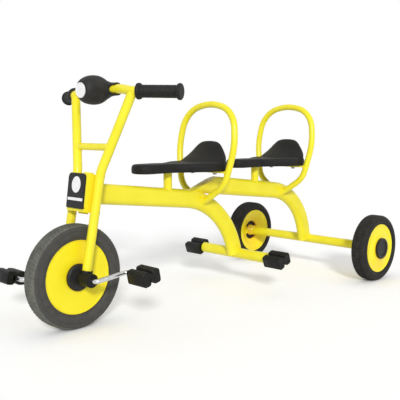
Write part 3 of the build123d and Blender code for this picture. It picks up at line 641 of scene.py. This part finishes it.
for row in ("front", "rear"):
    node = "seat_" + row
    low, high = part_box(node)
    shape = moulded_copy(node, voxel=2.6 * MM, passes=14)
    dish_half = DISH_WIDTH * (high.y - low.y) / 2
    pan_top = low.z + PAN_TOP
    shape.normal_update()
    for vert in shape.verts:
        away = hypot((vert.co.x - low.x - DISH_X) / DISH_LENGTH, vert.co.y / dish_half)
        if away < 1 and vert.co.z > low.z + DISH_FLOOR:
            vert.co.z -= SEAT_DISH * (1 - away * away) ** 2
        if vert.co.z > pan_top:
            share = (vert.co.z - pan_top) / (high.z - pan_top)
            vert.co.z -= CREST_DROP * share * (vert.co.y / CREST_HALF) ** 2
        elif abs(vert.co.z - low.z - PARTING_RISE) < PARTING_HALF and abs(vert.normal.z) < UPRIGHT:
            vert.co += vert.normal * PARTING_RIDGE
    made = add_piece(node + "_moulded", shape, seat_plastic, "frame", (node,), 60.0)
    print(node, len(made.data.polygons), "faces", [round(v / MM) for v in made.dimensions])

# %% Handlebar pad
pad_shape = moulded_copy("handlebar_pad", voxel=1.6 * MM, passes=5)
pad = add_piece("handlebar_pad_moulded", pad_shape, pad_plastic, "fork", ("handlebar_pad",), 60.0)
print("handlebar pad", len(pad.data.polygons), "faces")

# %% [markdown]
# ## Grips
# A grip is soft vinyl dipped over the tube, with a flange at the inner end that stops the hand, a closed outer end and
# fine ribs between them. The flat outer end of the construction grip gives the axis, and the point furthest behind it
# gives the length. The ribbed outline is spun round that axis.

# %% Ribbed grips
GRIP_BORE_R = 12.2 * MM
GRIP_R = 15.2 * MM
FLANGE_R = 19.5 * MM
FLANGE = 9 * MM  # length of the thicker part at each end
FLANGE_ROUND = 2.5 * MM  # rounding at the inner end
END_ROUND = 3.5 * MM  # and at the closed outer one
RIB = 0.6 * MM
RIB_PITCH = 3.6 * MM
RIB_SECTION = ((0.12, 0.0), (0.3, 1.0), (0.62, 1.0), (0.8, 0.0))  # share of the pitch, share of the rib's height


def grip_outline(length, ribs):
    """Outline from the open inner end to the closed outer one."""
    neck, foot = GRIP_R + 1.2 * MM, 0.6 * MM  # where a flange falls to the ribs
    back, edge = length - FLANGE, 1 * MM
    points = [(GRIP_BORE_R, 0.4 * MM), (FLANGE_R - FLANGE_ROUND, 0)]
    points += arc((FLANGE_R - FLANGE_ROUND, FLANGE_ROUND), FLANGE_ROUND, -60, 0, 3)
    points += [(FLANGE_R, FLANGE - 3 * MM), (FLANGE_R - edge, FLANGE - edge), (neck, FLANGE + foot)]
    start = FLANGE + (length - 2 * FLANGE - ribs * RIB_PITCH) / 2
    for i in range(ribs):
        points += [(GRIP_R - RIB * (1 - lift), start + (i + share) * RIB_PITCH) for share, lift in RIB_SECTION]
    points += [(neck, back - foot), (FLANGE_R - edge, back + edge), (FLANGE_R, back + 3 * MM)]
    points += arc((FLANGE_R - END_ROUND, length - END_ROUND), END_ROUND, 0, 75, 5)
    return points + [(10 * MM, length - 0.2 * MM), (0, length)]


for side, sign in (("left", 1), ("right", -1)):
    node = "grip_" + side
    outer, axis = flat_face(node, Vector((0, sign, 0)))
    length = max(axis.dot(outer - vert.co) for vert in frame["nodes"][node].data.vertices)
    ribs = int((length - 2 * FLANGE - 4 * MM) / RIB_PITCH)
    shape = bmesh.new()
    spin(shape, grip_outline(length, ribs), frame_at(outer - axis * length, axis), 48)
    add_piece(node + "_ribbed", shape, grip_rubber, "fork", (node,), 50.0)
print("grip", round(length / MM, 1), "mm long with", ribs, "ribs")

# %% [markdown]
# ## Pedals and foot rests
# Each is one nylon moulding: a barrel that turns on its spindle, two deep tread blocks and three webs that join them.
# The tread blocks are grooved along their length for grip. An outline with the grooves in it is pushed along the
# spindle.

# %% Grooved pedals
PEDAL_LENGTH = 62 * MM
PEDAL_REACH = 52 * MM
PEDAL_THICK = 35 * MM
PEDAL_BEVEL = 1.5 * MM
TREAD_WIDTH = 22 * MM
TREAD_ROUND = 6.5 * MM
TREAD_GROOVE = ((1.5, 0), (0.9, 1.3), (-0.9, 1.3), (-1.5, 0))  # mm from a groove's middle, mm deep
GROOVE_OFF = 3.2 * MM  # each groove's middle from the block's
BARREL_R = 11 * MM
BARREL_ROUND = 3 * MM
SPINDLE_HOLE_R = 6.2 * MM
WEB_INSET = 1 * MM  # the webs are this much thinner than the barrel, above and below
WEBS = ((0.5 * MM, 6 * MM), (PEDAL_LENGTH - 6.5 * MM, 6 * MM), (PEDAL_LENGTH / 2 - 2 * MM, 4 * MM))  # start, thickness
TILTS = {"pedal_left": 12.0, "pedal_right": -10.0, "foot_rest_left": 20.0, "foot_rest_right": 20.0}


def tread_outline():
    """Rounded block section about its own middle, with two grooves on its top and two on its underside."""
    half_x, half_z = TREAD_WIDTH / 2, PEDAL_THICK / 2
    top = arc((half_x - TREAD_ROUND, half_z - TREAD_ROUND), TREAD_ROUND, 0, 90, 5)
    for middle in (GROOVE_OFF, -GROOVE_OFF):
        top += [(middle + step * MM, half_z - depth * MM) for step, depth in TREAD_GROOVE]
    top += arc((TREAD_ROUND - half_x, half_z - TREAD_ROUND), TREAD_ROUND, 90, 180, 5)
    return top + [(-x, -z) for x, z in top]


block_x = (PEDAL_REACH - TREAD_WIDTH) / 2
web_z = BARREL_R - WEB_INSET
web = [(block_x, web_z), (-block_x, web_z), (-block_x, -web_z), (block_x, -web_z)]
barrel = [(SPINDLE_HOLE_R, 0), (BARREL_R - 1 * MM, 0), (BARREL_R, 1 * MM), (BARREL_R, PEDAL_LENGTH - BARREL_ROUND)]
barrel += arc((BARREL_R - BARREL_ROUND, PEDAL_LENGTH - BARREL_ROUND), BARREL_ROUND, 15, 90, 4) + [(0, PEDAL_LENGTH)]
for node, tilt in TILTS.items():
    sign = 1 if node.endswith("left") else -1
    low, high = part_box(node)
    pivot = Vector(joint_places[node + "_spin"])
    pivot.y = low.y if sign > 0 else high.y
    outwards = Matrix.Rotation(radians(-90 * sign), 4, "X")
    place = Matrix.Translation(pivot) @ Matrix.Rotation(radians(tilt), 4, "Y") @ outwards
    shape = bmesh.new()
    for x in (block_x, -block_x):
        push(shape, [(x + a, b) for a, b in tread_outline()], place, PEDAL_LENGTH, PEDAL_BEVEL)
    for start, thickness in WEBS:
        push(shape, web, place @ Matrix.Translation((0, 0, start)), thickness, 0.5 * MM)
    spin(shape, barrel, place, 28)
    add_piece(node + "_moulded", shape, part_plastic, node, (node,))
print("pedals and rests", len(TILTS))

# %% [markdown]
# ## Weld beads
# Every joint of the frame is a fillet weld under the powder coat. The construction tubes were cut to each other's
# shape, so the sharp edge at a tube's cut end, where it lies on its neighbour, is just where the welder's bead runs.
# Those edges are found, chained into a line, and a thin rippled tube is laid along it.

# %% Find the seams
END_REACH = 0.9 * MM  # both ends of a seam's edge lie this near to the neighbour
MIDDLE_REACH = 1.2 * MM  # and its middle this near, since a chord leaves a curved face
SEAM_ANGLE = 28  # degrees between the faces at a cut end
surfaces = {}


def touches(node, point, reach):
    """Whether a point lies within `reach` of a node's surface."""
    if node not in surfaces:
        surfaces[node] = BVHTree.FromObject(frame["nodes"][node], bpy.context.evaluated_depsgraph_get())
    return surfaces[node].find_nearest(point, reach)[0] is not None


def seam_edges(part, onto):
    """Sharp edges of `part` that lie on the surface of `onto`, as pairs of points."""
    shape = bmesh.new()
    shape.from_mesh(frame["nodes"][part].data)
    bmesh.ops.remove_doubles(shape, verts=shape.verts, dist=0.01 * MM)
    near = {vert for vert in shape.verts if touches(onto, vert.co, END_REACH)}
    found = []
    for edge in shape.edges:
        a, b = edge.verts
        sharp = len(edge.link_faces) == 2 and edge.calc_face_angle() > radians(SEAM_ANGLE)
        if sharp and a in near and b in near and touches(onto, (a.co + b.co) / 2, MIDDLE_REACH):
            found.append((tuple(a.co), tuple(b.co)))
    shape.free()
    return found


def chains(edges):
    """Join edges that share an end into lines of points."""
    links = {}
    for a, b in edges:
        links.setdefault(a, []).append(b)
        links.setdefault(b, []).append(a)
    left = {frozenset(edge) for edge in edges}
    lines = []
    for start in sorted(links, key=lambda p: (len(links[p]) != 1, p)):
        line = [start]
        while True:
            ahead = [p for p in links[line[-1]] if frozenset((line[-1], p)) in left]
            if not ahead:
                break
            left.discard(frozenset((line[-1], ahead[0])))
            line.append(ahead[0])
        if len(line) > 2:
            lines.append([Vector(p) for p in line])
    return lines


def even(line, spacing):
    """The same line with points at an even spacing."""
    lengths = [0.0]
    for a, b in zip(line, line[1:]):
        lengths.append(lengths[-1] + (b - a).length)
    count = max(3, int(lengths[-1] / spacing))
    points, i = [], 0
    for k in range(count + 1):
        target = lengths[-1] * k / count
        while i < len(lengths) - 2 and lengths[i + 1] < target:
            i += 1
        share = (target - lengths[i]) / max(lengths[i + 1] - lengths[i], 1e-9)
        points.append(line[i].lerp(line[i + 1], share))
    return points


# %% [markdown]
# ## Laying a bead
# A welder's torch stops and starts a little with each drop of filler, which leaves scales like a row of coins. The bead
# is a tube of eight sides that swells and shrinks by a few hundredths of its size at that spacing. A bead that runs all
# the way round a tube closes on itself, and the others taper off at both ends.

# %% Weld the frame
BEAD_R = 2.1 * MM
BEAD_SIDES = 8
RIPPLE = 3.2 * MM
RIPPLE_POINTS = 4  # rings in one ripple
RIPPLE_SHARE = 0.07
RING_GAP = 1.5 * MM  # a line whose ends are nearer than this runs all the way round
SHORTEST_BEAD = 12 * MM
WELDS = [
    ("front_beam", "head_tube"),
    ("front_beam", "foot_bar"),
    ("rear_beam", "front_beam"),
    ("rear_beam", "rear_axle_tube"),
    ("seat_post_front", "front_beam"),
    ("seat_post_rear", "rear_beam"),
    ("hoop_front", "front_beam"),
    ("hoop_rear", "rear_beam"),
    ("seat_bar_front", "hoop_front"),
    ("seat_bar_rear", "hoop_rear"),
    ("fork_brace", "fork_leg_left"),
    ("fork_brace", "fork_leg_right"),
    ("fork_leg_left", "handlebar"),
    ("fork_leg_right", "handlebar"),
]


def lay_bead(shape, line, radius):
    """Rippled tube along a line, closed if its ends meet, with tapered ends if they don't."""
    closed = (line[0] - line[-1]).length < RING_GAP
    points = even(line, RIPPLE / RIPPLE_POINTS)
    if closed:
        points = points[:-1]
    count = len(points)
    around = [2 * pi * j / BEAD_SIDES for j in range(BEAD_SIDES)]
    rings = []
    across = None
    for k, point in enumerate(points):
        after = points[(k + 1) % count] if closed or k < count - 1 else point
        before = points[k - 1] if closed or k > 0 else point
        along = (after - before).normalized()
        level = along.orthogonal() if across is None else across - along * across.dot(along)
        across = level.normalized()
        other = along.cross(across)
        size = radius * (1 - RIPPLE_SHARE + RIPPLE_SHARE * cos(2 * pi * k / RIPPLE_POINTS))
        if not closed:
            size *= min(1.0, 0.35 + 0.3 * min(k, count - 1 - k))
        rings.append([shape.verts.new(point + (across * cos(a) + other * sin(a)) * size) for a in around])
    for low, high in zip(rings, rings[1:]):
        join_rings(shape, low, high)
    if closed:
        low, high = rings[-1], rings[0]
        sides = range(BEAD_SIDES)
        turn = min(sides, key=lambda t: sum((low[a].co - high[(a + t) % BEAD_SIDES].co).length for a in sides))
        join_rings(shape, low, high, turn)
    else:
        shape.faces.new(list(reversed(rings[0])))
        shape.faces.new(rings[-1])


body_of_node = {node: body for body, nodes in frame["record"]["behaviour"]["bodies"].items() for node in nodes}
for part, onto in WELDS:
    shape = bmesh.new()
    lines = chains(seam_edges(part, onto))
    total = 0.0
    for line in lines:
        length = sum((b - a).length for a, b in zip(line, line[1:]))
        if length > SHORTEST_BEAD:
            lay_bead(shape, line, BEAD_R)
            total += length
    add_piece(f"weld_{part}_{onto}", shape, powder_coat, body_of_node[part], (), 80.0)
    print(f"weld {part} on {onto}: {len(lines)} lines, {total / MM:.0f} mm")

# %% [markdown]
# ## Head plate
# The black plate ahead of the steering head carries a plain white disc and a plain white stripe, cut from vinyl film.
# Film is a tenth of a millimetre thick. It is drawn 0.4 mm thick, so that its edge still catches light.

# %% Film on the plate
FILM = 0.4 * MM
FILM_BEVEL = 0.1 * MM  # and the film floats this far off the plate
DISC_RISE = 15 * MM  # middle of the disc above the plate's
DISC_HALF_WIDTH, DISC_HALF_HEIGHT = 18 * MM, 20 * MM
STRIPE_HALF, STRIPE_LOW, STRIPE_HIGH = 31 * MM, -24 * MM, -17 * MM

plate_middle, plate_normal = flat_face("head_plate", Vector((1, 0, 0)))
across = Vector((0, 1, 0))
plate_turn = Matrix((across, plate_normal.cross(across), plate_normal)).transposed().to_4x4()
film_place = Matrix.Translation(plate_middle) @ plate_turn @ Matrix.Translation((0, 0, FILM_BEVEL))
ends = ((-1, STRIPE_LOW), (1, STRIPE_LOW), (1, STRIPE_HIGH), (-1, STRIPE_HIGH))
stripe = [(side * STRIPE_HALF, height) for side, height in ends]
shape = bmesh.new()
for outline in (oval((0, DISC_RISE), DISC_HALF_WIDTH, DISC_HALF_HEIGHT, 48), stripe):
    push(shape, outline, film_place, FILM, FILM_BEVEL)
add_piece("plate_film", shape, white_vinyl, "fork")
print("plate looks along", [round(part, 3) for part in plate_normal])

# %% [markdown]
# ## Fasteners
# Two six-sided bolt heads with washers hold each saddle to its cross bar from below. They are zinc plated, which gives
# a soft grey. A push-on nylon cap closes the outer end of each pedal and foot rest.

# %% Bolts and caps
BOLT_FLATS = 10 * MM
BOLT_HEIGHT = 4.5 * MM
BOLT_OFF = 45 * MM  # each bolt from the middle of its saddle
WASHER_R = 8.5 * MM
WASHER_T = 1.2 * MM
WASHER_EDGE = 0.3 * MM
CAP_SINK = 2.6 * MM  # the cap's seat lies this far inside the pedal's outer face
CAP = ((0, -0.5), (8.5, -0.5), (8.5, 0.3), (7.6, 1.4), (4, 2.2), (0, 2.4))  # mm from its axis, mm outwards


def bolt(shape, place):
    """Bolt head on a washer, standing on the XY plane of `place`."""
    rim, top = WASHER_R - WASHER_EDGE, WASHER_T - WASHER_EDGE
    spin(shape, [(0, 0), (rim, 0), (WASHER_R, WASHER_EDGE), (WASHER_R, top), (rim, WASHER_T), (0, WASHER_T)], place, 32)
    hexagon = arc((0, 0), BOLT_FLATS / (2 * cos(radians(30))), 0, 300, 5)
    push(shape, hexagon, place @ Matrix.Translation((0, 0, WASHER_T)), BOLT_HEIGHT, 0.5 * MM)


down = Matrix.Rotation(pi, 4, "X")
shape = bmesh.new()
for row in ("front", "rear"):
    low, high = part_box("seat_bar_" + row)
    for y in (-BOLT_OFF, BOLT_OFF):
        bolt(shape, Matrix.Translation(((low.x + high.x) / 2, y, low.z)) @ down)
add_piece("seat_bolts", shape, zinc_steel, "frame", sharp=25.0)

for node in TILTS:
    sign = 1 if node.endswith("left") else -1
    low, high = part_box(node)
    pivot = Vector(joint_places[node + "_spin"])
    pivot.y = high.y if sign > 0 else low.y
    shape = bmesh.new()
    cap_place = frame_at(pivot - Vector((0, CAP_SINK * sign, 0)), (0, sign, 0))
    spin(shape, [(radius * MM, along * MM) for radius, along in CAP], cap_place, 28)
    add_piece(node + "_cap", shape, part_plastic, node)
print("4 bolts and", len(TILTS), "caps")

# %% [markdown]
# ## Disc lips
# The outer edge of each yellow disc is turned over in a rounded lip that holds the tyre's bead. It catches the light
# as a thin pale ring just inside the rubber.

# %% Rounded lips
LIP_R = 2.4 * MM
LIP_FLAT = 0.8  # height of its section as a share of its width
LIPS = (  # disc, body, radius of the lip's middle, its distance from the disc's middle plane
    ("front_disc", "front_wheel", 90.0 * MM, 15.5 * MM),
    ("rear_disc_left", "rear_wheel_left", 75.6 * MM, 21.0 * MM),
    ("rear_disc_right", "rear_wheel_right", 75.6 * MM, 21.0 * MM),
)
for node, body, edge, half_width in LIPS:
    shape = bmesh.new()
    for sign in (1, -1):
        place = frame_at(middle_of(node) + Vector((0, sign * half_width, 0)), (0, sign, 0))
        spin(shape, oval((edge, 0), LIP_R, LIP_R * LIP_FLAT, 14), place, 128, closed=True)
    add_piece(node + "_lips", shape, flat_disc, body, sharp=60.0)
print(len(LIPS), "pairs of lips", round(2 * LIP_R / MM, 1), "mm wide")

# %% [markdown]
# ## Rear discs
# The inner side of each rear disc is a cone with two kidney-shaped pockets beside the axle boss, one above it and one
# below. The construction disc has the upper one. A boolean cut takes the lower one out of a copy of its mesh. Black
# curved pieces stand in both pockets. They are painted shade: they make the deep pockets dark above and below the
# axle.

# %% Pockets and dark pieces for their painted shade
POCKET_R = 27 * MM
POCKET_HALF = 8 * MM
POCKET_SPAN = 100  # degrees round the axle, between the middles of its round ends
POCKET_FLOOR = 17 * MM  # from the disc's middle plane, towards the outside
POCKET_MOUTH = -5 * MM
LEG_HALF = 6.8 * MM
LEG_LENGTH = 15 * MM


def kidney(half_width, turn):
    """Curved slot outline about the axle: two arcs joined by round ends."""
    start, stop = 90 - POCKET_SPAN / 2 + turn, 90 + POCKET_SPAN / 2 + turn
    tips = [(POCKET_R * cos(radians(a)), POCKET_R * sin(radians(a))) for a in (start, stop)]
    outline = arc((0, 0), POCKET_R + half_width, start, stop, 20)
    outline += arc(tips[1], half_width, stop, stop + 180, 8)[1:-1]
    outline += arc((0, 0), POCKET_R - half_width, stop, start, 16)
    return outline + arc(tips[0], half_width, start + 180, start + 360, 8)[1:-1]


def helper_object(name, shape):
    """Put a bmesh into the scene as an object that only serves a boolean cut."""
    data = bpy.data.meshes.new(name)
    shape.to_mesh(data)
    shape.free()
    made = bpy.data.objects.new(name, data)
    bpy.context.scene.collection.objects.link(made)
    return made


for side, sign in (("left", 1), ("right", -1)):
    node = "rear_disc_" + side
    turned = Matrix.Rotation(radians(90 * sign), 4, "X")
    floor_place = Matrix.Translation(middle_of(node) + Vector((0, POCKET_FLOOR * sign, 0))) @ turned
    lower = 90 + 90 * sign  # the placement turns the other way on the right, and up with it
    cutter_shape = bmesh.new()
    push(cutter_shape, kidney(POCKET_HALF, lower), floor_place, POCKET_FLOOR - POCKET_MOUTH + 1 * MM)
    bmesh.ops.recalc_face_normals(cutter_shape, faces=cutter_shape.faces)
    whole = bmesh.new()
    whole.from_mesh(frame["nodes"][node].data)
    bmesh.ops.remove_doubles(whole, verts=whole.verts, dist=0.002 * MM)
    cutter, disc = helper_object("cutter", cutter_shape), helper_object("whole", whole)
    cut = disc.modifiers.new("pocket", "BOOLEAN")
    cut.operation, cut.solver, cut.object = "DIFFERENCE", "EXACT", cutter
    shape = bmesh.new()
    shape.from_mesh(disc.evaluated_get(bpy.context.evaluated_depsgraph_get()).to_mesh())
    for used in (cutter, disc):
        bpy.data.objects.remove(used)
    made = add_piece(node + "_pocketed", shape, coned_disc, "rear_wheel_" + side, (node,), 30.0)
    # painted shade: black nylon pieces darken both pockets
    legs = bmesh.new()
    for turn in (0, 180):
        push(legs, kidney(LEG_HALF, turn), floor_place, LEG_LENGTH)
    add_piece("hub_cap_legs_" + side, legs, part_plastic, "rear_wheel_" + side)
    print(made.name, len(made.data.polygons), "faces")

# %% [markdown]
# ## Badge rim
# The white cap on the pad's face is a snap-in button. A thin raised rim round it keeps its edge from peeling.

# %% Rim
RIM_R = 16.6 * MM
RIM_BAND = 1.5 * MM
RIM_FLAT = 0.7  # height of its section as a share of its width
RIM_SINK = 0.3 * MM

badge_middle, badge_normal = flat_face("pad_badge", Vector((1, 0, 0)))
shape = bmesh.new()
rim_place = frame_at(badge_middle - badge_normal * RIM_SINK, badge_normal, Vector((0, 1, 0)))
spin(shape, oval((RIM_R, 0), RIM_BAND, RIM_BAND * RIM_FLAT, 12), rim_place, 64, closed=True)
add_piece("badge_rim", shape, white_vinyl, "fork", sharp=60.0)
print("badge rim", round(RIM_R / MM, 1), "mm")
